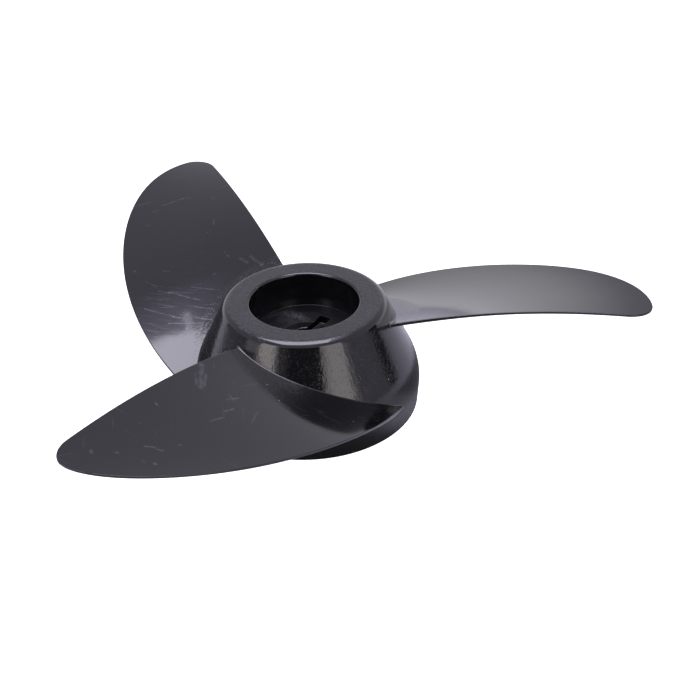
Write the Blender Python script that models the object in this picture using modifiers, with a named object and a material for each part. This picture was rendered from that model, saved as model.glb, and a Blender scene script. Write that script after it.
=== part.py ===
"""Three-bladed propeller of an electric outboard motor, injection-moulded in one piece.

The shaft axis is Z and the open rim of the skirt, which faces the motor, lies at Z = 0.
The collar face, where the shaft nut sits in its recess, is the top. Seen from the top,
each blade starts at its trailing edge high on the hub and winds down anticlockwise to
its leading edge on the skirt. The camera side of the object is -Y. All sizes are in metres.
"""
import math

import bmesh
import bpy
from mathutils import Vector

# Hub: a straight cone under the collar face, rounded over into the skirt
HUB_HEIGHT = 0.0471
COLLAR_RADIUS = 0.0301
SHOULDER_DROP = 0.0015
CONE_HEIGHT = 0.0430
CONE_RADIUS = 0.0349
CONE_SLOPE = 0.463
SKIRT_RADIUS = 0.0469
SKIRT_BLEND = 0.0042
RIM_RADIUS = 0.0459
RIM_DRAFT = 0.098
RIM_ROUND = 0.0010

# Nut recess in the collar face, with its moulding draft, and the dished seat in its floor
RECESS_RADIUS = 0.0224
RECESS_FLOOR_RADIUS = 0.0220
RECESS_DEPTH = 0.0150
RECESS_LIP = 0.0006
DISH_RADIUS = 0.0165
SEAT_RADIUS = 0.0095
SEAT_DROP = 0.0011

# Motor side: cored out to an even wall, with a shaft boss and six ribs
WALL = 0.0032
RECESS_WALL = 0.0032
COLLAR_THICKNESS = 0.0036
FLOOR_THICKNESS = 0.0050
BOSS_RADIUS = 0.0120
BOSS_END = 0.0080
RIB_COUNT = 6
RIB_THICKNESS = 0.0026
RIB_END = 0.0110
RIB_PHASE = math.radians(30.0)

# Motor shaft, its drive pin on the motor side, and the groove across the seat on the nut side
SHAFT_HOLE_RADIUS = 0.0052
PIN_SLOT_WIDTH = 0.0050
PIN_SLOT_DEPTH = 0.0060
GROOVE_WIDTH = 0.0050
GROOVE_LENGTH = 0.0290
GROOVE_DEPTH = 0.0036
GROOVE_AZIMUTH = math.radians(55.0)

# Blade: its trailing edge is a straight line in plan that passes the axis at an offset
BLADE_COUNT = 3
TIP_RADIUS = 0.1400
TRAILING_AZIMUTH = math.radians(231.9)
TRAILING_OFFSET = 0.0060
TRAILING_HEIGHT = 0.0505
TRAILING_CREST_RADIUS = 0.1146
TRAILING_DROOP = 1.5056

# Blade chord: an ellipse-like law about a centre on the far side of the axis
CHORD = 0.0913
CHORD_CENTRE = -0.0197
CHORD_POWER = 0.5545
TIP_CORNER_ARC = 0.0091
TIP_CORNER_LENGTH = 0.0105

# Blade form near the hub: it rises to the wall at mid chord and drops at its leading corner
ROOT_RISE = 0.0029
ROOT_SKEW = 0.0004
ROOT_CORNER_DROP = 0.0021
ROOT_REACH = 0.0090
ROOT_TRAILING_RADIUS = 0.0355

# Blade pitch, as the drop for each radian of wrap: it grows outwards, then washes out
DROP_AT_ROOT = 0.0164
DROP_AT_CREST = 0.0192
DROP_CREST_RADIUS = 0.0900
DROP_WASHOUT = 0.0144
DROP_WASHOUT_POWER = 2.5

# Blade thickness, all on the motor side of the working face
EDGE_THICKNESS = 0.0010
ROOT_THICKNESS = 0.0048
TIP_THICKNESS = 0.0014
ROOT_FILLET = 0.0006
ROOT_SINK = 0.0016

# Fineness of the mesh
HUB_STEPS = 72
HOLE_STEPS = 40
WALL_STEPS = 8
ROUND_STEPS = 3
CHORD_STEPS = 12
SPAN_STEPS = 15
FILLET_STEPS = 2


def smoothstep(share):
    share = min(max(share, 0.0), 1.0)
    return share * share * (3 - 2 * share)


def wall_radius(height):
    """Outer radius of the hub at a height: the smaller of cone and skirt, blended where they meet."""
    cone = CONE_RADIUS + (CONE_HEIGHT - height) * CONE_SLOPE
    skirt = RIM_RADIUS + height * RIM_DRAFT
    share = min(max(0.5 + (skirt - cone) / (2 * SKIRT_BLEND), 0.0), 1.0)
    return skirt + (cone - skirt) * share - SKIRT_BLEND * share * (1 - share)


def wall_heights():
    """Heights from the top to the bottom of the blend between cone and skirt."""
    middle = (CONE_RADIUS + CONE_HEIGHT * CONE_SLOPE - RIM_RADIUS) / (CONE_SLOPE + RIM_DRAFT)
    reach = SKIRT_BLEND / (CONE_SLOPE + RIM_DRAFT)
    return [middle + reach * (1 - 2 * i / WALL_STEPS) for i in range(WALL_STEPS + 1)]


def quarter_round(centre, size, start):
    """Points of a quarter ellipse in a turned profile, from the angle start clockwise."""
    points = []
    for i in range(ROUND_STEPS + 1):
        angle = start - math.pi / 2 * i / ROUND_STEPS
        points.append((centre[0] + size[0] * math.cos(angle), centre[1] + size[1] * math.sin(angle)))
    return points


def hub_profile():
    edge = HUB_HEIGHT - SHOULDER_DROP
    points = [(0.0, HUB_HEIGHT)]
    points += quarter_round((COLLAR_RADIUS, edge), (wall_radius(edge) - COLLAR_RADIUS, SHOULDER_DROP), math.pi / 2)
    points += [(wall_radius(z), z) for z in wall_heights()]
    points += quarter_round((RIM_RADIUS - RIM_ROUND, RIM_ROUND), (RIM_ROUND, RIM_ROUND), 0.0)
    return points + [(0.0, 0.0)]


def recess_profile():
    """The nut recess as a cutter that opens over a chamfered lip and runs out of the top."""
    floor = HUB_HEIGHT - RECESS_DEPTH
    above = HUB_HEIGHT + RECESS_LIP
    points = [(0.0, above), (RECESS_RADIUS + RECESS_LIP * 2, above)]
    points += [(RECESS_RADIUS, HUB_HEIGHT - RECESS_LIP), (RECESS_FLOOR_RADIUS, floor)]
    return points + [(DISH_RADIUS, floor), (SEAT_RADIUS, floor - SEAT_DROP), (0.0, floor - SEAT_DROP)]


def core_profile():
    """The open space on the motor side, between the shaft boss, the recess and the wall."""
    below = -HUB_HEIGHT / 8
    ceiling = HUB_HEIGHT - COLLAR_THICKNESS
    underside = HUB_HEIGHT - RECESS_DEPTH - FLOOR_THICKNESS
    inner = RECESS_RADIUS + RECESS_WALL
    points = [(0.0, BOSS_END), (BOSS_RADIUS, BOSS_END), (BOSS_RADIUS, underside), (inner, underside)]
    points += [(inner, ceiling), (wall_radius(ceiling) - WALL, ceiling)]
    points += [(wall_radius(z) - WALL, z) for z in wall_heights()]
    return points + [(RIM_RADIUS - WALL, below), (0.0, below)]


def pitch_drop(radius):
    """Height lost by the blade for each radian that it winds round the axis."""
    root_share = (radius - CONE_RADIUS) / (DROP_CREST_RADIUS - CONE_RADIUS)
    drop = DROP_AT_ROOT + (DROP_AT_CREST - DROP_AT_ROOT) * smoothstep(root_share)
    tip_share = max((radius - DROP_CREST_RADIUS) / (TIP_RADIUS - DROP_CREST_RADIUS), 0.0)
    return drop - DROP_WASHOUT * tip_share ** DROP_WASHOUT_POWER


def trailing_azimuth(radius):
    return TRAILING_AZIMUTH - math.asin(TRAILING_OFFSET / radius)


def edge_arcs(radius):
    """Arc lengths from the trailing line to the trailing and the leading edge at a radius."""
    share = (radius - CHORD_CENTRE) / (TIP_RADIUS - CHORD_CENTRE)
    chord = CHORD * max(1 - share * share, 0.0) ** CHORD_POWER
    corner = max((radius - TIP_RADIUS + TIP_CORNER_LENGTH) / TIP_CORNER_LENGTH, 0.0)
    trailing = TIP_CORNER_ARC * (1 - math.sqrt(max(1 - corner * corner, 0.0)))
    return trailing, TIP_CORNER_ARC + chord * (1 - TIP_CORNER_ARC / CHORD)


def root_form(radius, arc):
    """Height added near the hub, where the blade isn't a plain screw surface."""
    share = min(max(arc / edge_arcs(radius)[1], 0.0), 1.0)
    wall = ROOT_TRAILING_RADIUS + (SKIRT_RADIUS - ROOT_TRAILING_RADIUS) * share
    rise = ROOT_RISE * math.sin(math.pi * share) + ROOT_SKEW * math.sin(2 * math.pi * share)
    return math.exp((wall - radius) / ROOT_REACH) * (rise - ROOT_CORNER_DROP * share ** 4)


def working_face(radius, arc):
    """Point of the working face at a radius and an arc length from the trailing line."""
    crest_gap = TRAILING_CREST_RADIUS - radius
    height = TRAILING_HEIGHT - TRAILING_DROOP * crest_gap * crest_gap
    azimuth = trailing_azimuth(radius) + arc / radius
    height += root_form(radius, arc) - pitch_drop(radius) * arc / radius
    return Vector((radius * math.cos(azimuth), radius * math.sin(azimuth), height))


def face_normal(radius, arc):
    step = TIP_RADIUS / 2000
    along = working_face(radius, arc + step) - working_face(radius, arc - step)
    outwards = working_face(radius, arc) - working_face(radius - step, arc)
    return outwards.cross(along).normalized()


def root_radius(chord_share, depth):
    """Radius at which a face of the blade, so far below the working face, meets the hub wall."""
    low, high = COLLAR_RADIUS, SKIRT_RADIUS * 1.1
    for _ in range(30):
        radius = (low + high) / 2
        trailing, leading = edge_arcs(radius)
        point = working_face(radius, trailing + (leading - trailing) * chord_share)
        if radius < wall_radius(point.z - depth):
            low = radius
        else:
            high = radius
    return low


def span_rows():
    """Rows of a blade as (distance from the wall, share of the span): sink, fillet, then blade."""
    rows = [(-ROOT_SINK, 0.0)]
    for i in range(FILLET_STEPS + 1):
        rows.append((ROOT_FILLET * (1 - math.cos(math.pi / 2 * i / FILLET_STEPS)), 0.0))
    for i in range(1, SPAN_STEPS + 1):
        rows.append((ROOT_FILLET, 1 - (1 - i / (SPAN_STEPS + 0.35)) ** 1.7))
    return rows


def fillet_swell(distance):
    """How far the faces stand out near the wall, on a round fillet."""
    gap = ROOT_FILLET - min(max(distance, 0.0), ROOT_FILLET)
    return ROOT_FILLET - math.sqrt(ROOT_FILLET * ROOT_FILLET - gap * gap)


def blade_section(distance, span_share):
    """One closed loop of points round the blade, out along the working face and back behind."""
    swell = fillet_swell(distance)
    front, back = [], []
    for i in range(CHORD_STEPS + 1):
        chord_share = (1 - math.cos(math.pi * i / CHORD_STEPS)) / 2
        crown = ROOT_THICKNESS + (TIP_THICKNESS - ROOT_THICKNESS) * span_share ** 0.7
        thickness = EDGE_THICKNESS + (crown - EDGE_THICKNESS) * (4 * chord_share * (1 - chord_share)) ** 0.8
        for face, depth, lift in ((front, 0.0, swell), (back, thickness, -thickness - swell)):
            start = root_radius(chord_share, depth)
            radius = start + distance + (TIP_RADIUS - start - ROOT_FILLET) * span_share
            trailing, leading = edge_arcs(radius)
            arc = trailing - swell + (leading - trailing + 2 * swell) * chord_share
            face.append(working_face(radius, arc) + face_normal(radius, arc) * lift)
    return front + back[::-1]


def new_object(name, mesh, collection):
    made = bpy.data.objects.new(name, mesh)
    collection.objects.link(made)
    return made


def make_blade(index, collection):
    """A loft through the sections, turned into its place round the hub."""
    turn = 2 * math.pi * index / BLADE_COUNT
    cos, sin = math.cos(turn), math.sin(turn)
    loft = bmesh.new()
    rings = []
    for distance, span_share in span_rows():
        section = blade_section(distance, span_share)
        rings.append([loft.verts.new((p.x * cos - p.y * sin, p.x * sin + p.y * cos, p.z)) for p in section])
    for inner, outer in zip(rings, rings[1:]):
        for i in range(len(inner)):
            j = (i + 1) % len(inner)
            loft.faces.new((inner[i], inner[j], outer[j], outer[i]))
    for ring in (rings[0], rings[-1]):
        half = len(ring) // 2
        for i in range(half - 1):
            loft.faces.new((ring[i], ring[i + 1], ring[-2 - i], ring[-1 - i]))
    bmesh.ops.recalc_face_normals(loft, faces=loft.faces)
    mesh = bpy.data.meshes.new("blade")
    loft.to_mesh(mesh)
    loft.free()
    return new_object("blade_%d" % (index + 1), mesh, collection)


def make_turned(name, profile, steps, collection):
    """A profile of (radius, height) points, turned about the shaft axis."""
    mesh = bpy.data.meshes.new(name)
    mesh.from_pydata([(r, 0.0, z) for r, z in profile], [(i, i + 1) for i in range(len(profile) - 1)], [])
    turned = new_object(name, mesh, collection)
    screw = turned.modifiers.new("turn", "SCREW")
    screw.steps = screw.render_steps = steps
    screw.use_merge_vertices = True
    screw.merge_threshold = 0.00001
    return turned


def make_box(name, size, location, turn, collection):
    """A block of a given size, its long side along the radius at the angle turn."""
    block = bmesh.new()
    bmesh.ops.create_cube(block, size=1.0)
    bmesh.ops.scale(block, vec=size, verts=block.verts)
    mesh = bpy.data.meshes.new(name)
    block.to_mesh(mesh)
    block.free()
    made = new_object(name, mesh, collection)
    made.location = location
    made.rotation_euler = (0.0, 0.0, turn)
    return made


def make_core(collection):
    """The cutter for the motor side, with the ribs left standing as slots in it."""
    core = make_turned("core", core_profile(), HUB_STEPS, collection)
    height = HUB_HEIGHT - RIB_END
    for index in range(RIB_COUNT // 2):
        turn = RIB_PHASE + 2 * math.pi * index / RIB_COUNT
        place = (0.0, 0.0, RIB_END + height / 2)
        rib = make_box("rib_pair_%d" % (index + 1), (SKIRT_RADIUS * 2, RIB_THICKNESS, height), place, turn, collection)
        combine(core, rib, "DIFFERENCE")
    return core


def black_plastic():
    material = bpy.data.materials.new("black_glass_filled_nylon")
    material.use_nodes = True
    surface = material.node_tree.nodes["Principled BSDF"]
    surface.inputs["Base Color"].default_value = (0.014, 0.014, 0.015, 1.0)
    surface.inputs["Roughness"].default_value = 0.25
    surface.inputs["Metallic"].default_value = 0.0
    return material


def combine(target, operand, operation):
    operand.hide_render = True
    operand.display_type = "WIRE"
    boolean = target.modifiers.new(operation.lower() + "_" + operand.name, "BOOLEAN")
    boolean.operation = operation
    boolean.solver = "EXACT"
    boolean.object = operand


def main():
    for old in list(bpy.data.objects):
        bpy.data.objects.remove(old)
    parts = bpy.data.collections.new("outboard_propeller")
    tools = bpy.data.collections.new("cutters")
    for collection in (parts, tools):
        bpy.context.scene.collection.children.link(collection)

    propeller = make_turned("propeller", hub_profile(), HUB_STEPS, parts)
    for index in range(BLADE_COUNT):
        combine(propeller, make_blade(index, tools), "UNION")
    combine(propeller, make_turned("nut_recess", recess_profile(), HUB_STEPS, tools), "DIFFERENCE")
    groove_size = (GROOVE_LENGTH, GROOVE_WIDTH, GROOVE_DEPTH * 2)
    groove_place = (0.0, 0.0, HUB_HEIGHT - RECESS_DEPTH)
    combine(propeller, make_box("seat_groove", groove_size, groove_place, GROOVE_AZIMUTH, tools), "DIFFERENCE")
    hole = [(0.0, HUB_HEIGHT), (SHAFT_HOLE_RADIUS, HUB_HEIGHT), (SHAFT_HOLE_RADIUS, -WALL), (0.0, -WALL)]
    combine(propeller, make_turned("shaft_hole", hole, HOLE_STEPS, tools), "DIFFERENCE")
    slot_size = (BOSS_RADIUS * 2 + WALL, PIN_SLOT_WIDTH, PIN_SLOT_DEPTH * 2)
    combine(propeller, make_box("pin_slot", slot_size, (0.0, 0.0, BOSS_END), 0.0, tools), "DIFFERENCE")
    combine(propeller, make_core(tools), "DIFFERENCE")

    propeller.data.materials.append(black_plastic())


main()
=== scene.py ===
"""Propeller of an electric outboard motor, standing on the open rim of its hub."""
import math

import bpy
from mathutils import Matrix, Vector


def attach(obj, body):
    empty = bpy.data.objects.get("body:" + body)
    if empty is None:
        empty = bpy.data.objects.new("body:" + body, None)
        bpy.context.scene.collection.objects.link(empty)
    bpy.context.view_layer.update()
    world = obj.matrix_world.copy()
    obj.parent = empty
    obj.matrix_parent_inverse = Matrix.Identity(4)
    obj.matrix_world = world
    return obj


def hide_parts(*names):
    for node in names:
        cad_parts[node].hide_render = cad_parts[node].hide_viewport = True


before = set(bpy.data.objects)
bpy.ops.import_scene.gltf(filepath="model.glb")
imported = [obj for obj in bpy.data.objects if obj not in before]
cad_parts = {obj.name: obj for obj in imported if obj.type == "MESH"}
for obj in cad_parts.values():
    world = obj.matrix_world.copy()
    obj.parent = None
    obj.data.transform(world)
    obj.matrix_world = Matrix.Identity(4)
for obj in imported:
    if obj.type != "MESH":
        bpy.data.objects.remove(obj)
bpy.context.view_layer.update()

# Camera
# A long lens from a little above the collar, as in the photograph, with the camera tipped by
# less than two degrees. It looks along +Y at a point just right of the hub.
AIM = Vector((0.0141, -0.00017, 0.02779))
CAMERA_DISTANCE = 0.6825
CAMERA_ELEVATION = math.radians(31.814)
CAMERA_ROLL = math.radians(-1.776)
LENS_LENGTH = 87.49
SENSOR_WIDTH = 36.0

camera = bpy.data.objects.new("camera", bpy.data.cameras.new("camera"))
bpy.context.scene.collection.objects.link(camera)
camera.data.lens = LENS_LENGTH
camera.data.sensor_width = SENSOR_WIDTH
towards_camera = Vector((0.0, -math.cos(CAMERA_ELEVATION), math.sin(CAMERA_ELEVATION)))
camera.location = AIM + towards_camera * CAMERA_DISTANCE
tilt = Matrix.Rotation(math.pi / 2 - CAMERA_ELEVATION, 3, "X")
camera.rotation_euler = (tilt @ Matrix.Rotation(CAMERA_ROLL, 3, "Z")).to_euler()
bpy.context.scene.camera = camera
bpy.context.scene.view_settings.view_transform = "Standard"

# Floor
# A pale, matt studio table, which the glossy plastic mirrors with its shadows, and a lit white
# sheet just below, which alone shows to the camera and gives the blank white of the photograph.
FLOOR_SIZE = 6.0
BACKING_DROP = 0.0005


def to_linear(hex_colour):
    """An sRGB hex colour as the linear colour that a socket takes."""
    parts = [int(hex_colour[i:i + 2], 16) / 255 for i in (1, 3, 5)]
    return tuple(c / 12.92 if c <= 0.04045 else ((c + 0.055) / 1.055) ** 2.4 for c in parts) + (1.0,)


def studio_sheet(name, material_name, finish, **placing):
    """A flat sheet under or beside the propeller, with the settings of its one material."""
    bpy.ops.object.select_all(action="DESELECT")
    bpy.ops.mesh.primitive_plane_add(**placing)
    sheet = bpy.context.object
    sheet.name = name
    material = bpy.data.materials.new(material_name)
    material.use_nodes = True
    for socket, value in finish.items():
        material.node_tree.nodes["Principled BSDF"].inputs[socket].default_value = value
    sheet.data.materials.append(material)
    return sheet


laminate = {"Base Color": to_linear("#bab9bd"), "Roughness": 0.9, "Specular IOR Level": 0.0}
table = studio_sheet("studio_table", "matt_white_laminate", laminate, size=FLOOR_SIZE)
table.visible_camera = False

lit_acrylic = {"Emission Color": to_linear("#ffffff"), "Emission Strength": 1.1}
backing = studio_sheet("lit_backing_sheet", "lit_white_acrylic", lit_acrylic,
                       size=FLOOR_SIZE, location=(0.0, 0.0, -BACKING_DROP))
backing.visible_diffuse = False
backing.visible_glossy = False
backing.visible_transmission = False
backing.visible_shadow = False

# Light
# A white room: bright near the floor, bluish above and brightest right overhead, where a large
# diffuser hangs with a small one and a tube beside it. Two tall, warm strip boxes stand at the
# front, the left one with a dim glow beside it, and a black flag between them. A grey card and
# a dark stand are at the right, and a low card at the left.
ROOM_BRIGHTNESS = 2.0
CEILING_HEIGHT = 1.5
CEILING_RADIANCE = 6.8
CEILING_COLOUR = (0.89, 0.875, 1.0)
STRIP_DISTANCE = 1.1
STRIP_MIDDLE = 0.30
STRIP_HEIGHT = 0.9
STRIP_COLOUR = (1.0, 0.92, 0.90)


def add_node(tree, kind, settings=(), inputs=()):
    """A node with its settings, and its inputs as values or as links from other nodes."""
    node = tree.nodes.new(kind)
    for name, value in dict(settings).items():
        setattr(node, name, value)
    for socket, value in dict(inputs).items():
        if isinstance(value, bpy.types.NodeSocket):
            tree.links.new(value, node.inputs[socket])
        else:
            node.inputs[socket].default_value = value
    return node


world = bpy.data.worlds.new("white_room")
bpy.context.scene.world = world
world.use_nodes = True
room = world.node_tree
direction = add_node(room, "ShaderNodeTexCoord")
upwards = add_node(room, "ShaderNodeSeparateXYZ", inputs={0: direction.outputs["Generated"]})
bands = add_node(room, "ShaderNodeValToRGB", inputs={0: upwards.outputs["Z"]})
while len(bands.color_ramp.elements) > 1:
    bands.color_ramp.elements.remove(bands.color_ramp.elements[-1])
# Each band is the sine of its elevation and its colour.
for sine, colour in (
    (0.0, (0.70, 0.69, 0.75)),
    (0.2, (0.58, 0.57, 0.62)),
    (0.37, (0.385, 0.375, 0.44)),
    (0.85, (0.38, 0.365, 0.445)),
    (0.90, (0.75, 0.72, 0.94)),
    (0.935, (1.1, 1.06, 1.35)),
):
    stop = bands.color_ramp.elements.new(sine) if sine else bands.color_ramp.elements[0]
    stop.position = sine
    stop.color = colour + (1.0,)
room.links.new(bands.outputs["Color"], room.nodes["Background"].inputs["Color"])
room.nodes["Background"].inputs["Strength"].default_value = ROOM_BRIGHTNESS


def soft_box(name, centre, width, height, radiance, colour, target):
    """A rectangular soft light that the camera doesn't see, facing the target."""
    lamp = bpy.data.objects.new(name, bpy.data.lights.new(name, "AREA"))
    bpy.context.scene.collection.objects.link(lamp)
    lamp.data.shape = "RECTANGLE"
    lamp.data.size = width
    lamp.data.size_y = height
    lamp.data.energy = radiance * math.pi * width * height
    lamp.data.color = colour
    lamp.location = centre
    lamp.rotation_euler = (Vector(target) - Vector(centre)).to_track_quat("-Z", "Y").to_euler()
    lamp.visible_camera = False
    return lamp


# Overhead: the place, the size and the turn in degrees of each soft light
for name, right, behind, width, depth, degrees in (
    ("ceiling_diffuser", -0.148, -0.005, 1.12, 1.08, 12.0),
    ("small_diffuser", -0.06, 0.525, 0.28, 0.30, -29.0),
    ("ceiling_tube", -0.32, 0.59, 0.025, 0.12, 10.0),
):
    centre, below = (right, behind, CEILING_HEIGHT), (right, behind, 0.0)
    overhead = soft_box(name, centre, width, depth, CEILING_RADIANCE, CEILING_COLOUR, below)
    overhead.rotation_euler.z += math.radians(degrees)

# Strip boxes: the azimuth in degrees, the width and the radiance
for name, degrees, width, radiance in (
    ("left_strip", 222.0, 0.40, 3.4),
    ("left_glow", 240.0, 0.30, 0.25),
    ("right_strip", 304.0, 0.56, 2.6),
):
    azimuth = math.radians(degrees)
    centre = (STRIP_DISTANCE * math.cos(azimuth), STRIP_DISTANCE * math.sin(azimuth), STRIP_MIDDLE)
    soft_box(name, centre, width, STRIP_HEIGHT, radiance, STRIP_COLOUR, (0.0, 0.0, STRIP_MIDDLE))

# Cards: the azimuth in degrees, the distance, the width, the heights that it spans and the colour
for name, degrees, away, width, low, high, hex_colour in (
    ("black_flag", 266.0, 1.5, 1.7, -0.08, 0.92, "#38383a"),
    ("grey_card", 342.0, 1.3, 0.80, 0.0, 0.75, "#c3c1c6"),
    ("dark_stand", 7.5, 1.2, 0.33, 0.0, 0.40, "#303033"),
    ("low_card", 173.0, 0.45, 0.34, 0.0, 0.18, "#9c9b9f"),
):
    azimuth = math.radians(degrees)
    cloth = {"Base Color": to_linear(hex_colour), "Roughness": 1.0}
    card = studio_sheet(name, name + "_cloth", cloth, size=1.0,
                        location=(away * math.cos(azimuth), away * math.sin(azimuth), (low + high) / 2),
                        rotation=(math.pi / 2, 0.0, azimuth + math.pi / 2))
    card.scale = (width, high - low, 1.0)
    card.visible_camera = False

# Hub
# The turned core of the moulding: matt collar face, nut recess with a dished seat, conical
# wall that rounds over into the skirt, and a cored motor side with a shaft boss. Its section
# is drawn once, every edge with its moulded radius, and turned about the shaft axis.
HUB_TOP = 0.0471
COLLAR_RADIUS = 0.0329
CONE_HEIGHT = 0.0430
CONE_RADIUS = 0.0349
CONE_SLOPE = 0.463
RIM_RADIUS = 0.0459
RIM_DRAFT = 0.098
SKIRT_BLEND = 0.0042
SKIRT_TOP = 0.0265
SKIRT_FOOT = 0.0030
SKIRT_LARGEST = 0.0469
WALL = 0.0032
CEILING = 0.0435
CORE_RADIUS = 0.0256
CORE_END = 0.0271
BOSS_RADIUS = 0.0120
BOSS_END = 0.0080
SHAFT_HOLE_RADIUS = 0.0052
SEAT_RADIUS = 0.0095
SEAT_HEIGHT = 0.0310
DISH_RADIUS = 0.0165
RECESS_RADIUS = 0.0224
RECESS_FLOOR_RADIUS = 0.0220
RECESS_FLOOR = 0.0321
HUB_STEPS = 240
ARC_STEPS = 7
SUPPORT_SHARE = 0.25


def wall_radius(height):
    """Outer radius of the hub: the smaller of cone and skirt, blended where they meet."""
    cone = CONE_RADIUS + (CONE_HEIGHT - height) * CONE_SLOPE
    skirt = RIM_RADIUS + height * RIM_DRAFT
    share = min(max(0.5 + (skirt - cone) / (2 * SKIRT_BLEND), 0.0), 1.0)
    return skirt + (cone - skirt) * share - SKIRT_BLEND * share * (1 - share)


def wall_points(inset, top, bottom, steps):
    """The hub wall from a height down to another, as corners without a rounding."""
    heights = [top + (bottom - top) * i / steps for i in range(steps + 1)]
    return [(wall_radius(z) - inset, z, 0.0) for z in heights]


def round_corners(corners):
    """A closed section with an arc at each corner that has a radius, and a point close to its ends."""
    points = []
    for i, (r, z, size) in enumerate(corners):
        here = Vector((r, z))
        if not size:
            points.append(here)
            continue
        back = (Vector(corners[i - 1][:2]) - here).normalized()
        ahead = (Vector(corners[(i + 1) % len(corners)][:2]) - here).normalized()
        half = back.angle(ahead) / 2
        reach = size / math.tan(half)
        centre = here + (back + ahead).normalized() * size / math.sin(half)
        start, end = here + back * reach, here + ahead * reach
        points.append(start + back * reach * SUPPORT_SHARE)
        first = start - centre
        turn = first.angle_signed(end - centre)
        for k in range(ARC_STEPS + 1):
            angle = -turn * k / ARC_STEPS
            c, s = math.cos(angle), math.sin(angle)
            points.append(centre + Vector((first.x * c - first.y * s, first.x * s + first.y * c)))
        points.append(end + ahead * reach * SUPPORT_SHARE)
    return points


# Each corner of the section is a radius, a height and the radius of its rounding.
outside = [(RECESS_RADIUS, HUB_TOP, 0.0010), (COLLAR_RADIUS, HUB_TOP, 0.0036)]
outside += wall_points(0.0, SKIRT_TOP, SKIRT_FOOT, 22) + [(RIM_RADIUS, 0.0, 0.0010)]
motor_side = [(RIM_RADIUS - WALL, 0.0, 0.0004)] + wall_points(WALL, SKIRT_FOOT, SKIRT_TOP, 16)
motor_side += [(wall_radius(CEILING) - WALL, CEILING, 0.0008), (CORE_RADIUS, CEILING, 0.0008)]
motor_side += [(CORE_RADIUS, CORE_END, 0.0005), (BOSS_RADIUS, CORE_END, 0.0008)]
motor_side += [(BOSS_RADIUS, BOSS_END, 0.0005)]
bore = [(SHAFT_HOLE_RADIUS, BOSS_END, 0.0004), (SHAFT_HOLE_RADIUS, SEAT_HEIGHT, 0.0004)]
seat = [(SEAT_RADIUS, SEAT_HEIGHT, 0.0030), (DISH_RADIUS, RECESS_FLOOR, 0.0060)]
seat += [(RECESS_FLOOR_RADIUS, RECESS_FLOOR, 0.0001)]
section = round_corners(outside + motor_side + bore + seat)

bpy.ops.object.select_all(action="DESELECT")
bpy.ops.mesh.primitive_plane_add(size=0.001, location=(section[0].x, 0.0, section[0].y))
hub = bpy.context.object
hub.name = "propeller_moulding"
bpy.ops.object.transform_apply(location=True)
bpy.ops.object.mode_set(mode="EDIT")
bpy.ops.mesh.merge(type="CENTER")
for before, after in zip(section, section[1:]):
    step = after - before
    bpy.ops.mesh.extrude_vertices_move(TRANSFORM_OT_translate={"value": (step.x, 0.0, step.y)})
bpy.ops.object.mode_set(mode="OBJECT")
for i, v in enumerate(hub.data.vertices):
    v.select = i in (0, len(section) - 1)
bpy.ops.object.mode_set(mode="EDIT")
bpy.ops.mesh.edge_face_add()
bpy.ops.mesh.select_all(action="SELECT")
bpy.ops.mesh.spin(steps=HUB_STEPS, angle=2 * math.pi, center=(0.0, 0.0, 0.0), axis=(0.0, 0.0, 1.0))
bpy.ops.mesh.select_all(action="SELECT")
bpy.ops.mesh.remove_doubles(threshold=0.000002)
bpy.ops.mesh.normals_make_consistent(inside=False)
bpy.ops.object.mode_set(mode="OBJECT")

# Drive pin slot and groove
# The slot across the end of the boss takes the drive pin, and the groove crosses the dished
# seat at the bottom of the recess. Both are formed by straight bars in the mould, half of
# whose height reaches into the plastic.
PIN_BAR = (0.0272, 0.0050, 0.0120)
GROOVE_BAR = (0.0290, 0.0050, 0.0072)
GROOVE_AZIMUTH = math.radians(55.0)
BAR_EDGE = 0.0003


def cut_bar(target, size, height, azimuth):
    """Takes a bar with slightly rounded edges, centred on the axis at a height, out of the target."""
    bpy.ops.object.select_all(action="DESELECT")
    bpy.ops.mesh.primitive_cube_add(size=1.0, location=(0.0, 0.0, height), rotation=(0.0, 0.0, azimuth))
    bar = bpy.context.object
    bar.scale = size
    bpy.ops.object.transform_apply(location=False, rotation=False, scale=True)
    edges = bar.modifiers.new("edges", "BEVEL")
    edges.width = BAR_EDGE
    edges.segments = 2
    bpy.ops.object.modifier_apply(modifier="edges")
    bpy.context.view_layer.objects.active = target
    cut = target.modifiers.new("bar", "BOOLEAN")
    cut.operation = "DIFFERENCE"
    cut.solver = "EXACT"
    cut.object = bar
    bpy.ops.object.modifier_apply(modifier="bar")
    bpy.data.objects.remove(bar)


cut_bar(hub, PIN_BAR, BOSS_END, 0.0)
cut_bar(hub, GROOVE_BAR, RECESS_FLOOR, GROOVE_AZIMUTH)

# Ribs
# Six thin radial ribs on the motor side join the boss, the recess and the wall. Each is
# modelled as a bar that runs up between recess and wall, with a foot drawn in to the boss.
RIB_COUNT = 6
RIB_PHASE = 30.0
RIB_THICKNESS = 0.0026
RIB_END = 0.0110
RIB_TOP = 0.0443
RIB_INSIDE = 0.0242
RIB_OUTSIDE = 0.0448
RIB_MIDDLE = 0.0200
FOOT_TOP = 0.0285
FOOT_LENGTH = 0.0134
RIB_EDGE = 0.0004

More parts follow.
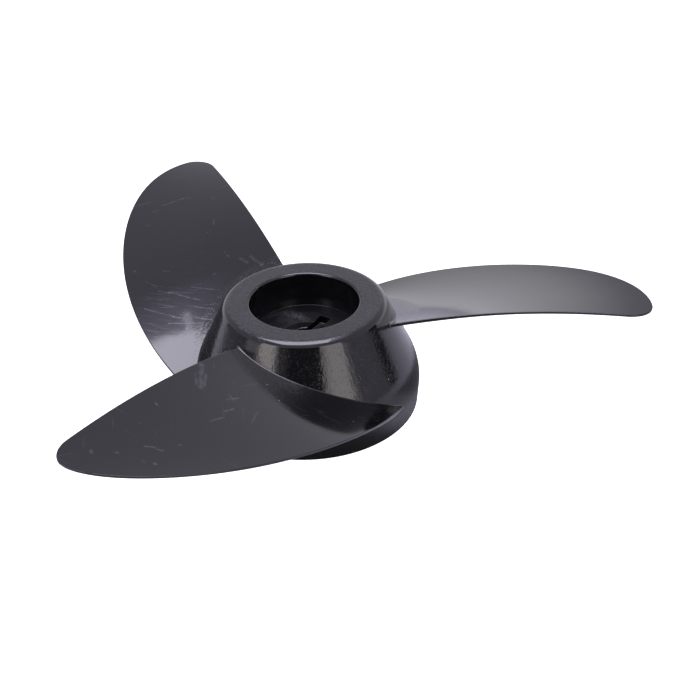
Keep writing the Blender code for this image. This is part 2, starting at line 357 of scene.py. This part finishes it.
bpy.ops.object.select_all(action="DESELECT")
bpy.ops.mesh.primitive_cube_add(size=1.0)
rib = bpy.context.object
rib.name = "rib"
for v in rib.data.vertices:
    v.co.x = RIB_OUTSIDE if v.co.x > 0 else RIB_INSIDE
    v.co.y *= RIB_THICKNESS
    v.co.z = RIB_TOP if v.co.z > 0 else RIB_END
bpy.ops.object.mode_set(mode="EDIT")
for level in (RIB_MIDDLE, FOOT_TOP):
    bpy.ops.mesh.select_all(action="SELECT")
    bpy.ops.mesh.bisect(plane_co=(0.0, 0.0, level), plane_no=(0.0, 0.0, 1.0))
bpy.ops.object.mode_set(mode="OBJECT")
for v in rib.data.vertices:
    if v.co.x > (RIB_INSIDE + RIB_OUTSIDE) / 2:
        v.co.x = wall_radius(v.co.z) - WALL / 2
for face in rib.data.polygons:
    face.select = face.normal.x < -0.9 and face.center.z < FOOT_TOP
for part in list(rib.data.vertices) + list(rib.data.edges):
    part.select = False
bpy.ops.object.mode_set(mode="EDIT")
bpy.ops.mesh.select_mode(type="FACE")
bpy.ops.mesh.extrude_region_move(TRANSFORM_OT_translate={"value": (-FOOT_LENGTH, 0.0, 0.0)})
bpy.ops.object.mode_set(mode="OBJECT")
edges = rib.modifiers.new("edges", "BEVEL")
edges.width = RIB_EDGE
edges.segments = 3
bpy.ops.object.modifier_apply(modifier="edges")
ribs = [rib]
for index in range(1, RIB_COUNT):
    copy = rib.copy()
    copy.data = rib.data.copy()
    bpy.context.scene.collection.objects.link(copy)
    ribs.append(copy)
for index, one in enumerate(ribs):
    one.data.transform(Matrix.Rotation(math.radians(RIB_PHASE + 360 / RIB_COUNT * index), 4, "Z"))

# Blades
# Three thin blades, each a twisted sheet whose faces run into the hub wall over a small
# fillet, which grows at the high trailing corner. The trailing edge is straight, the leading
# edge sweeps down to the skirt, and every edge is square with rounded corners. The surface is
# a screw whose pitch changes from root to tip, so it is laid out from a flat grid by that law.
BLADE_COUNT = 3
TIP = 0.13985

# Trailing edge: a line in plan that passes the axis at an offset, on a flat arch in height
TRAILING_AZIMUTH = math.radians(231.9)
TRAILING_OFFSET = 0.0060
TRAILING_HEIGHT = 0.0505
TRAILING_CREST_RADIUS = 0.1146
TRAILING_DROOP = 1.5056

# Chord: an ellipse-like law about a centre beyond the axis, with a rounded corner at the tip.
# It is a tenth of a millimetre narrower than that of the solids, to stay inside their box.
CHORD = 0.0912
CHORD_OF_SOLIDS = 0.0913
CHORD_CENTRE = -0.0197
CHORD_POWER = 0.5545
TIP_CORNER_ARC = 0.0091
TIP_CORNER_LENGTH = 0.0105
SHARE_PAST_CORNER = 1 - TIP_CORNER_ARC / CHORD_OF_SOLIDS

# Pitch: the height lost for each radian of wrap, which grows outwards and then washes out
DROP_AT_ROOT = 0.0164
DROP_GROWTH = 0.0028
DROP_CREST_RADIUS = 0.0900
DROP_WASHOUT = 0.0144
DROP_WASHOUT_LENGTH = 0.0500
DROP_WASHOUT_POWER = 2.5

# Near the hub the face rises to the wall at mid chord and drops at its leading corner
ROOT_RISE = 0.0029
ROOT_SKEW = 0.0004
ROOT_CORNER_DROP = 0.0021
ROOT_TRAILING_RADIUS = 0.0355
ROOT_LEADING_GAIN = 0.0114
ROOT_REACH = 0.0090
ROOT_LOWEST = 0.0300
ROOT_HIGHEST = SKIRT_LARGEST + 0.0060
HALVINGS = 22

# Thickness, edges and fillet
ROOT_THICKNESS = 0.0048
TIP_THICKNESS = 0.0014
THINNING_POWER = 0.7
EDGE_HALF = 0.0005
EDGE_GAIN = 0.0002
EDGE_GAIN_START = 0.085
EDGE_GAIN_LENGTH = 0.040
TIP_CLOSING = 0.0006
FILLET = 0.0003
CORNER_FILLET_GAIN = 0.0005
CORNER_FILLET_SHARE = 0.09
ROOT_SINK = 0.0013


def ease(share):
    """0 up to 0, 1 from 1 on, and a smooth rise between."""
    share = min(max(share, 0.0), 1.0)
    return share * share * (3 - 2 * share)


def edge_arcs(radius):
    """Arc lengths from the trailing line to the trailing and the leading edge at a radius."""
    share = (radius - CHORD_CENTRE) / (TIP - CHORD_CENTRE)
    chord = CHORD * max(1 - share * share, 0.0) ** CHORD_POWER
    corner = max((radius - TIP + TIP_CORNER_LENGTH) / TIP_CORNER_LENGTH, 0.0)
    trailing = TIP_CORNER_ARC * (1 - math.sqrt(max(1 - corner * corner, 0.0)))
    return trailing, TIP_CORNER_ARC + chord * SHARE_PAST_CORNER


def working_face(radius, arc):
    """Point of the face that shows from the nut side, at an arc length from the trailing line."""
    drop = DROP_AT_ROOT + DROP_GROWTH * ease((radius - CONE_RADIUS) / (DROP_CREST_RADIUS - CONE_RADIUS))
    past_crest = max((radius - DROP_CREST_RADIUS) / DROP_WASHOUT_LENGTH, 0.0)
    drop -= DROP_WASHOUT * past_crest ** DROP_WASHOUT_POWER
    height = TRAILING_HEIGHT - TRAILING_DROOP * (TRAILING_CREST_RADIUS - radius) ** 2 - drop * arc / radius
    share = min(max(arc / edge_arcs(radius)[1], 0.0), 1.0)
    rise = ROOT_RISE * math.sin(math.pi * share) + ROOT_SKEW * math.sin(2 * math.pi * share)
    rise -= ROOT_CORNER_DROP * share ** 4
    height += rise * math.exp((ROOT_TRAILING_RADIUS + ROOT_LEADING_GAIN * share - radius) / ROOT_REACH)
    azimuth = TRAILING_AZIMUTH - math.asin(TRAILING_OFFSET / radius) + arc / radius
    return Vector((radius * math.cos(azimuth), radius * math.sin(azimuth), height))


def blade_point(radius, arc, depth):
    """Point at a depth behind the working face."""
    step = 0.00005
    radius = min(radius, TIP)
    along = working_face(radius, arc + step) - working_face(radius, arc - step)
    outwards = working_face(radius, arc) - working_face(radius - step, arc)
    return working_face(radius, arc) - outwards.cross(along).normalized() * depth


def place_on_loop(share, radius, swell, thickness):
    """Arc and depth of a place on the loop round a blade: front, leading edge, back, trailing edge."""
    trailing, leading = edge_arcs(radius)
    close = math.sqrt(max(1 - max((radius - TIP + TIP_CLOSING) / TIP_CLOSING, 0.0) ** 2, 0.0))
    edge = EDGE_HALF + EDGE_GAIN * ease((EDGE_GAIN_START - radius) / EDGE_GAIN_LENGTH)
    edge = min(edge * close, (leading - trailing) / 2)
    side, across = share
    if side in ("front", "back"):
        arc = trailing + edge + (leading - trailing - 2 * edge) * across
        full = 2 * edge + (thickness * close - 2 * edge) * 4 * across * (1 - across)
        return arc, (-swell if side == "front" else full + swell)
    turn = math.pi * (across - 0.5)
    out = (edge + swell) * math.sqrt(max(math.cos(turn), 0.0))
    down = math.copysign((edge + swell) * math.sqrt(abs(math.sin(turn))), turn)
    if side == "leading":
        return leading - edge + out, edge + down
    return trailing + edge - out, edge - down


def root_radius(share, swell):
    """Radius at which that place of the blade meets the hub wall, found by halving."""
    low, high = ROOT_LOWEST, ROOT_HIGHEST
    for _ in range(HALVINGS):
        radius = (low + high) / 2
        point = blade_point(radius, *place_on_loop(share, radius, swell, ROOT_THICKNESS))
        if math.hypot(point.x, point.y) < wall_radius(point.z):
            low = radius
        else:
            high = radius
    return low


def fillet_radius(share):
    """Radius of the fillet at a place on the loop: small, but larger on the front by the trailing edge."""
    side, across = share
    near = {"front": 1 - ease(across / CORNER_FILLET_SHARE), "trailing": across}.get(side, 0.0)
    return FILLET + CORNER_FILLET_GAIN * near ** 1.5


# The loop round the blade is a side and the share across it. A row along the blade is how far
# it is sunk into the hub, its angle on the fillet and its share of the span.
CHORD_STEPS = 52
EDGE_STEPS = 12
FILLET_STEPS = 8
SPAN_STEPS = 66
SPAN_CROWDING = 1.8
loop = [("front", (1 - math.cos(math.pi * i / CHORD_STEPS)) / 2) for i in range(CHORD_STEPS)]
loop += [("leading", i / EDGE_STEPS) for i in range(EDGE_STEPS)]
loop += [("back", (1 + math.cos(math.pi * i / CHORD_STEPS)) / 2) for i in range(CHORD_STEPS)]
loop += [("trailing", i / EDGE_STEPS) for i in range(EDGE_STEPS)]
rows = [(ROOT_SINK, 0.0, 0.0)]
rows += [(0.0, math.pi / 2 * i / FILLET_STEPS, 0.0) for i in range(FILLET_STEPS)]
rows += [(0.0, math.pi / 2, span) for span in (0.0, 0.0006, 0.004)]
rows += [(0.0, math.pi / 2, 1 - (1 - i / SPAN_STEPS) ** SPAN_CROWDING) for i in range(1, SPAN_STEPS + 1)]

bpy.ops.object.select_all(action="DESELECT")
bpy.ops.mesh.primitive_grid_add(x_subdivisions=len(loop), y_subdivisions=len(rows) - 1, size=1.0)
blade = bpy.context.object
blade.name = "blade"
starts = {}
for v in blade.data.vertices:
    share = loop[round((v.co.x + 0.5) * len(loop)) % len(loop)]
    sunk, angle, span = rows[round((v.co.y + 0.5) * (len(rows) - 1))]
    fillet = fillet_radius(share)
    swell = fillet * (1 - math.sin(angle))
    if (share, swell) not in starts:
        starts[share, swell] = root_radius(share, swell)
    start = starts[share, swell]
    station = start + fillet * (1 - math.cos(angle)) - sunk + (TIP - start - fillet) * span
    thickness = ROOT_THICKNESS + (TIP_THICKNESS - ROOT_THICKNESS) * span ** THINNING_POWER
    v.co = blade_point(station, *place_on_loop(share, station, swell, thickness))
bpy.ops.object.mode_set(mode="EDIT")
bpy.ops.mesh.select_all(action="SELECT")
bpy.ops.mesh.remove_doubles(threshold=0.000004)
bpy.ops.mesh.select_mode(type="EDGE")
bpy.ops.mesh.select_all(action="DESELECT")
bpy.ops.mesh.select_non_manifold()
bpy.ops.mesh.edge_face_add()
bpy.ops.mesh.select_all(action="SELECT")
bpy.ops.mesh.normals_make_consistent(inside=False)
bpy.ops.object.mode_set(mode="OBJECT")
blades = [blade]
for index in range(1, BLADE_COUNT):
    copy = blade.copy()
    copy.data = blade.data.copy()
    bpy.context.scene.collection.objects.link(copy)
    copy.data.transform(Matrix.Rotation(2 * math.pi / BLADE_COUNT * index, 4, "Z"))
    blades.append(copy)

# One moulding
# The real part is a single shot of plastic, so hub, ribs and blades are joined to one piece.
bpy.ops.object.select_all(action="DESELECT")
for one in ribs + blades + [hub]:
    one.select_set(True)
bpy.context.view_layer.objects.active = hub
bpy.ops.object.join()
bpy.ops.object.shade_smooth_by_angle(angle=math.radians(32.0))
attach(hub, "root")
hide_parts("propeller")

# Black glass-filled nylon, moulded in a polished tool and handled since: near black under a clear gloss with
# faint orange peel and slow waves, a matt, fine-grained collar face, and hairline scratches, scuffs and dust
# on top, and a grey painted highlight on the floor of the recess.
nylon = bpy.data.materials.new("black_glass_filled_nylon")
nylon.use_nodes = True
tree = nylon.node_tree
surface = tree.nodes["Principled BSDF"]
coordinates = add_node(tree, "ShaderNodeTexCoord")
place = coordinates.outputs["Object"]
height = add_node(tree, "ShaderNodeSeparateXYZ", inputs={0: place}).outputs["Z"]
flattened = add_node(tree, "ShaderNodeVectorMath", {"operation": "MULTIPLY"}, {0: place, 1: (1.0, 1.0, 0.0)})
plan = flattened.outputs[0]
radius = add_node(tree, "ShaderNodeVectorMath", {"operation": "LENGTH"}, {0: plan}).outputs["Value"]
facing = add_node(tree, "ShaderNodeSeparateXYZ", inputs={0: coordinates.outputs["Normal"]}).outputs["Z"]


def zone(*limits, full=1.0):
    """The full value where all limits hold: each is a measure, where it gives nothing and where all."""
    inside = full
    for measure, nothing, whole in limits:
        ends = {"Value": measure, "From Min": nothing, "From Max": whole, "To Max": inside}
        fade = add_node(tree, "ShaderNodeMapRange", {"interpolation_type": "SMOOTHSTEP"}, ends)
        inside = fade.outputs[0]
    return inside


def cloud(per_metre, detail, stretch=(1.0, 1.0, 1.0), turn=(0.0, 0.0, 0.0)):
    """A cloudy pattern over the moulding, with so many grains in a metre, turned and then stretched."""
    turned = add_node(tree, "ShaderNodeMapping", inputs={"Vector": place, "Rotation": turn})
    spread = add_node(tree, "ShaderNodeMapping", inputs={"Vector": turned.outputs[0], "Scale": stretch})
    grains = {"Vector": spread.outputs[0], "Scale": per_metre, "Detail": detail}
    return add_node(tree, "ShaderNodeTexNoise", inputs=grains).outputs[0]


def add_up(total, shares):
    """The total with a share of each of some patterns added to it."""
    for share, pattern in shares:
        terms = {0: pattern, 1: share, 2: total}
        total = add_node(tree, "ShaderNodeMath", {"operation": "MULTIPLY_ADD"}, terms).outputs[0]
    return total


# Where each finish lies, by heights and radii in metres: first where it ends, then where it is full
collar = zone((height, 0.0462, 0.0470), (radius, 0.0325, 0.0312), (radius, 0.0231, 0.0236))
recess = zone((height, 0.0280, 0.0285), (radius, 0.0227, 0.0221))
hub_but_recess = add_up(zone((radius, 0.0490, 0.0460)), ((-1.0, recess),))
wall_face = zone((height, 0.0452, 0.0440), full=hub_but_recess)


def line_mark_group():
    """Node group that draws a soft line seen from above: 1 along it, 0 beyond its width."""
    group = bpy.data.node_groups.new("line_mark", "ShaderNodeTree")
    for name in ("Place", "Start", "Along"):
        group.interface.new_socket(name, in_out="INPUT", socket_type="NodeSocketVector")
    group.interface.new_socket("Width", in_out="INPUT", socket_type="NodeSocketFloat")
    group.interface.new_socket("Mark", in_out="OUTPUT", socket_type="NodeSocketFloat")
    given = group.nodes.new("NodeGroupInput").outputs
    along = given["Along"]
    offset = add_node(group, "ShaderNodeVectorMath", {"operation": "SUBTRACT"},
                      {0: given["Place"], 1: given["Start"]})
    reach = add_node(group, "ShaderNodeVectorMath", {"operation": "DOT_PRODUCT"},
                     {0: offset.outputs[0], 1: along})
    whole = add_node(group, "ShaderNodeVectorMath", {"operation": "DOT_PRODUCT"}, {0: along, 1: along})
    share = add_node(group, "ShaderNodeMath", {"operation": "DIVIDE", "use_clamp": True},
                     {0: reach.outputs["Value"], 1: whole.outputs["Value"]})
    foot = add_node(group, "ShaderNodeVectorMath", {"operation": "SCALE"},
                    {0: along, "Scale": share.outputs[0]})
    gap = add_node(group, "ShaderNodeVectorMath", {"operation": "DISTANCE"},
                   {0: offset.outputs[0], 1: foot.outputs[0]})
    fade = add_node(group, "ShaderNodeMapRange", {"interpolation_type": "SMOOTHSTEP"},
                    {"Value": gap.outputs["Value"], "From Max": given["Width"], "To Min": 1.0, "To Max": 0.0})
    result = group.nodes.new("NodeGroupOutput")
    group.links.new(fade.outputs[0], result.inputs["Mark"])
    return group


# Scuffs and scratches that the photograph shows, and a painted highlight on the recess floor, seen from
# above:
# each runs from one place to another, in millimetres, and has a width in millimetres and a strength.
# They are broken up by a grain of 2 mm and lie on faces that look upwards.
FRONT_BLADE_MARKS = (
    ((-39.5, -43), (-39, -58), 1.7, 0.30),
    ((-41.3, -50), (-40.8, -57), 0.8, 0.26),
    ((-37.6, -49), (-37.6, -56.5), 0.8, 0.30),
    ((-24, -51), (-18, -46.5), 0.5, 0.24),
    ((-29, -62.5), (-25, -60), 0.8, 0.36),
    ((-28.5, -59), (-26.5, -62.5), 0.6, 0.28),
    ((-29.5, -70.5), (-26.5, -68), 0.6, 0.48),
    ((-35, -79), (-30, -75), 0.6, 0.40),
    ((-54.5, -73), (-54, -74), 0.8, 0.36),
    ((-56.5, -99), (-53, -99), 0.6, 0.44),
    ((-52.5, -100), (-50, -100.5), 0.7, 0.36),
    ((-56.5, -107.5), (-56, -108), 0.9, 0.48),
    ((-52.5, -108.5), (-52, -109), 0.9, 0.48),
    ((-44.5, -96), (-44, -96), 0.8, 0.32),
    ((-75, -103.5), (-74.5, -105), 1, 0.28),
    ((-66.5, -104), (-65.5, -104), 0.8, 0.28),
    ((-19.5, -74.5), (-17.5, -66.5), 0.6, 0.20),
)
SHOULDER_MARKS = (
    ((-18.5, -26), (-17.1, -28.6), 0.5, 0.22),
    ((-16.7, -26.7), (-15.5, -29.5), 0.5, 0.20),
    ((-23.2, -21.7), (-21.5, -23.8), 0.8, 0.25),
    ((-26.1, -18.4), (-24.4, -20.7), 0.6, 0.22),
)
# A lighter grey arc over the far side of the recess floor, made rougher too: a painted highlight for the soft
# crescent of light on the dished seat
PAINTED_HIGHLIGHT_ARC = (
    ((-15.9, 12.5), (-13, 15.4), 2.2, 0.06),
    ((-13, 15.4), (-7.2, 15.5), 3.5, 0.09),
    ((-7.2, 15.5), (-3.4, 13.6), 4.0, 0.14),
    ((-3.4, 13.6), (0, 11.3), 2.6, 0.14),
    ((-10, 11), (-6, 10.5), 4.0, 0.08),
)
LEFT_BLADE_MARKS = (
    ((-65, 91.5), (-55.5, 95.5), 0.6, 0.33),
    ((-55.5, 95.5), (-52, 95.5), 0.5, 0.19),
    ((-69, 87.5), (-66, 88.5), 0.6, 0.17),
    ((-42.5, 92.5), (-41, 92), 0.8, 0.17),
    ((-40.5, 76), (-40.5, 72.5), 0.6, 0.25),
    ((-71, 78), (-69, 78), 0.6, 0.14),
    ((-35, 53.5), (-33, 50), 0.6, 0.25),
    ((-28, 48), (-25, 45), 1.2, 0.19),
    ((-23.5, 48), (-18, 41), 1.2, 0.17),
    ((-61.5, 46.5), (-59, 46), 0.6, 0.25),
    ((-74.5, 48), (-73.5, 47), 0.8, 0.28),
    ((-39.5, 41), (-38.5, 42), 0.7, 0.28),
    ((-63, 35), (-58.5, 33), 0.5, 0.25),
    ((-58.5, 33.5), (-55, 33), 0.9, 0.39),
    ((-55, 32), (-44.5, 27.5), 0.5, 0.39),
    ((-49, 35.5), (-37, 32), 0.5, 0.25),
    ((-68.5, 25), (-56, 20), 0.5, 0.36),
    ((-56, 20), (-48.5, 17.5), 0.6, 0.41),
    ((-46.5, 18.5), (-39.5, 16.5), 0.5, 0.41),
    ((-58, 16.5), (-43.5, 15.5), 0.5, 0.39),
    ((-69, 41), (-64, 37.5), 0.5, 0.17),
    ((-68, 31), (-58.5, 29), 0.5, 0.17),
    ((-65, 28), (-54.5, 25), 0.6, 0.17),
    ((-47.5, 24.5), (-40.5, 22.5), 0.6, 0.22),
    ((-49.5, 19), (-50, 10.5), 1.4, 0.22),
)
MILLIMETRE = 0.001
line_mark = line_mark_group()
# The marks add up here: real scuffs and scratches, with the painted highlight on the recess floor among them.
scuffs_and_painted_highlight = 0.0
for start, end, width, strength in FRONT_BLADE_MARKS + SHOULDER_MARKS + PAINTED_HIGHLIGHT_ARC + LEFT_BLADE_MARKS:
    line = {
        "Place": plan,
        "Start": (start[0] * MILLIMETRE, start[1] * MILLIMETRE, 0.0),
        "Along": ((end[0] - start[0]) * MILLIMETRE, (end[1] - start[1]) * MILLIMETRE, 0.0),
        "Width": width * MILLIMETRE,
    }
    mark = add_node(tree, "ShaderNodeGroup", {"node_tree": line_mark}, line)
    scuffs_and_painted_highlight = add_up(scuffs_and_painted_highlight, ((strength, mark.outputs[0]),))
scuffs_and_painted_highlight = zone((cloud(500.0, 3.0), 0.28, 0.56), (facing, 0.2, 0.4), full=scuffs_and_painted_highlight)

# Hairlines from handling, in three directions, thin and sparse. Real ones are a few hundredths
# of a millimetre wide; they are drawn half a millimetre wide, as fine as the picture can hold.
# Fine rubs lie close together across the root of the left blade.
RUB_CENTRE = (-0.054, 0.018, 0.029)
hairlines = 0.0
for turn, shift in ((0.55, 0.0), (-0.35, 0.08), (1.45, 0.18)):
    threads = zone((cloud(40.0, 1.0, (1.0, 30.0, 8.0), (0.0, shift, turn)), 0.70, 0.76))
    overlay = add_node(tree, "ShaderNodeMath", {"operation": "MAXIMUM"}, {0: hairlines, 1: threads})
    hairlines = overlay.outputs[0]
hairlines = zone((cloud(38.0, 2.0), 0.46, 0.60), full=hairlines)
rub_distance = add_node(tree, "ShaderNodeVectorMath", {"operation": "DISTANCE"}, {0: place, 1: RUB_CENTRE})
rub_threads = cloud(85.0, 2.0, (1.0, 24.0, 4.0), (0.0, 0.0, 0.20))
rubs = zone((rub_threads, 0.57, 0.73), (rub_distance.outputs["Value"], 0.032, 0.012))

# Dust: pale grains near the hub, where nothing wipes it, in cells of 5 mm, half of which hold
# one. They are drawn up to 0.7 mm across, larger than the real ones, so that they show.
cells = add_node(tree, "ShaderNodeTexVoronoi", inputs={"Vector": place, "Scale": 210.0})
chance = add_node(tree, "ShaderNodeSeparateColor", inputs={0: cells.outputs["Color"]}).outputs[0]
grain_edge = add_up(-0.075, ((0.15, chance), (-1.0, cells.outputs["Distance"])))
dust = zone((grain_edge, -0.002, 0.015), (radius, 0.085, 0.070))

# Colour: black plastic that turns grey where it is worn and where a highlight is painted on the recess floor,
# under the dust.
# A mix node names its sockets alike for numbers and colours, so those for colours go by their index.
MIX_FACTOR, MIX_FIRST, MIX_SECOND, MIX_RESULT = 0, 6, 7, 2
collar_grain = zone((cloud(1100.0, 2.0), 0.46, 0.64), full=collar)
wear_and_painted_highlight_total = add_up(scuffs_and_painted_highlight, ((0.16, hairlines), (0.26, rubs), (0.16, collar_grain)))
wear_and_painted_highlight = add_node(tree, "ShaderNodeMath", {"operation": "MINIMUM"}, {0: wear_and_painted_highlight_total, 1: 1.0}).outputs[0]
plastic = add_node(tree, "ShaderNodeMix", {"data_type": "RGBA"},
                   {MIX_FACTOR: wear_and_painted_highlight, MIX_FIRST: to_linear("#080809"), MIX_SECOND: to_linear("#4a4a50")})
dusty = add_node(tree, "ShaderNodeMix", {"data_type": "RGBA"},
                 {MIX_FACTOR: dust, MIX_FIRST: plastic.outputs[MIX_RESULT], MIX_SECOND: to_linear("#676563")})
tree.links.new(dusty.outputs[MIX_RESULT], surface.inputs["Base Color"])

# Gloss: polished, but rougher where it is worn and under the painted highlight, in the recess and on the
# collar, and the hub wall is mottled with specks of 0.8 mm, larger than the real ones so that they show.
POLISHED = 0.05
mottling = zone((cloud(1200.0, 2.0), 0.48, 0.66), full=wall_face)
roughness = add_up(POLISHED, (
    (0.08, cloud(90.0, 3.0)),
    (0.35, wear_and_painted_highlight),
    (0.02, wall_face),
    (0.16, mottling),
    (0.20, collar),
    (0.12, recess),
))
tree.links.new(roughness, surface.inputs["Roughness"])
surface.inputs["IOR"].default_value = 1.5

# Relief: slow waves 17 mm long, orange peel of 1 mm that is strongest on the collar, and a
# grain on the hub wall that is drawn out along the axis. Heights are in units of 0.004 mm.
RELIEF_UNIT = 0.000004
relief = add_up(0.0, ((6.0, cloud(60.0, 1.0)),))
for pattern, smooth_face, extra, face in (
    (cloud(1000.0, 2.0), 1.5, 26.0, collar),
    (cloud(800.0, 2.0, (1.0, 1.0, 0.2)), 0.0, 14.0, wall_face),
):
    centred = add_node(tree, "ShaderNodeMath", {"operation": "SUBTRACT"}, {0: pattern, 1: 0.5}).outputs[0]
    relief = add_up(relief, ((add_up(smooth_face, ((extra, face),)), centred),))
bump = add_node(tree, "ShaderNodeBump", inputs={"Strength": 1.0, "Distance": RELIEF_UNIT, "Height": relief})
tree.links.new(bump.outputs["Normal"], surface.inputs["Normal"])
hub.data.materials.clear()
hub.data.materials.append(nylon)
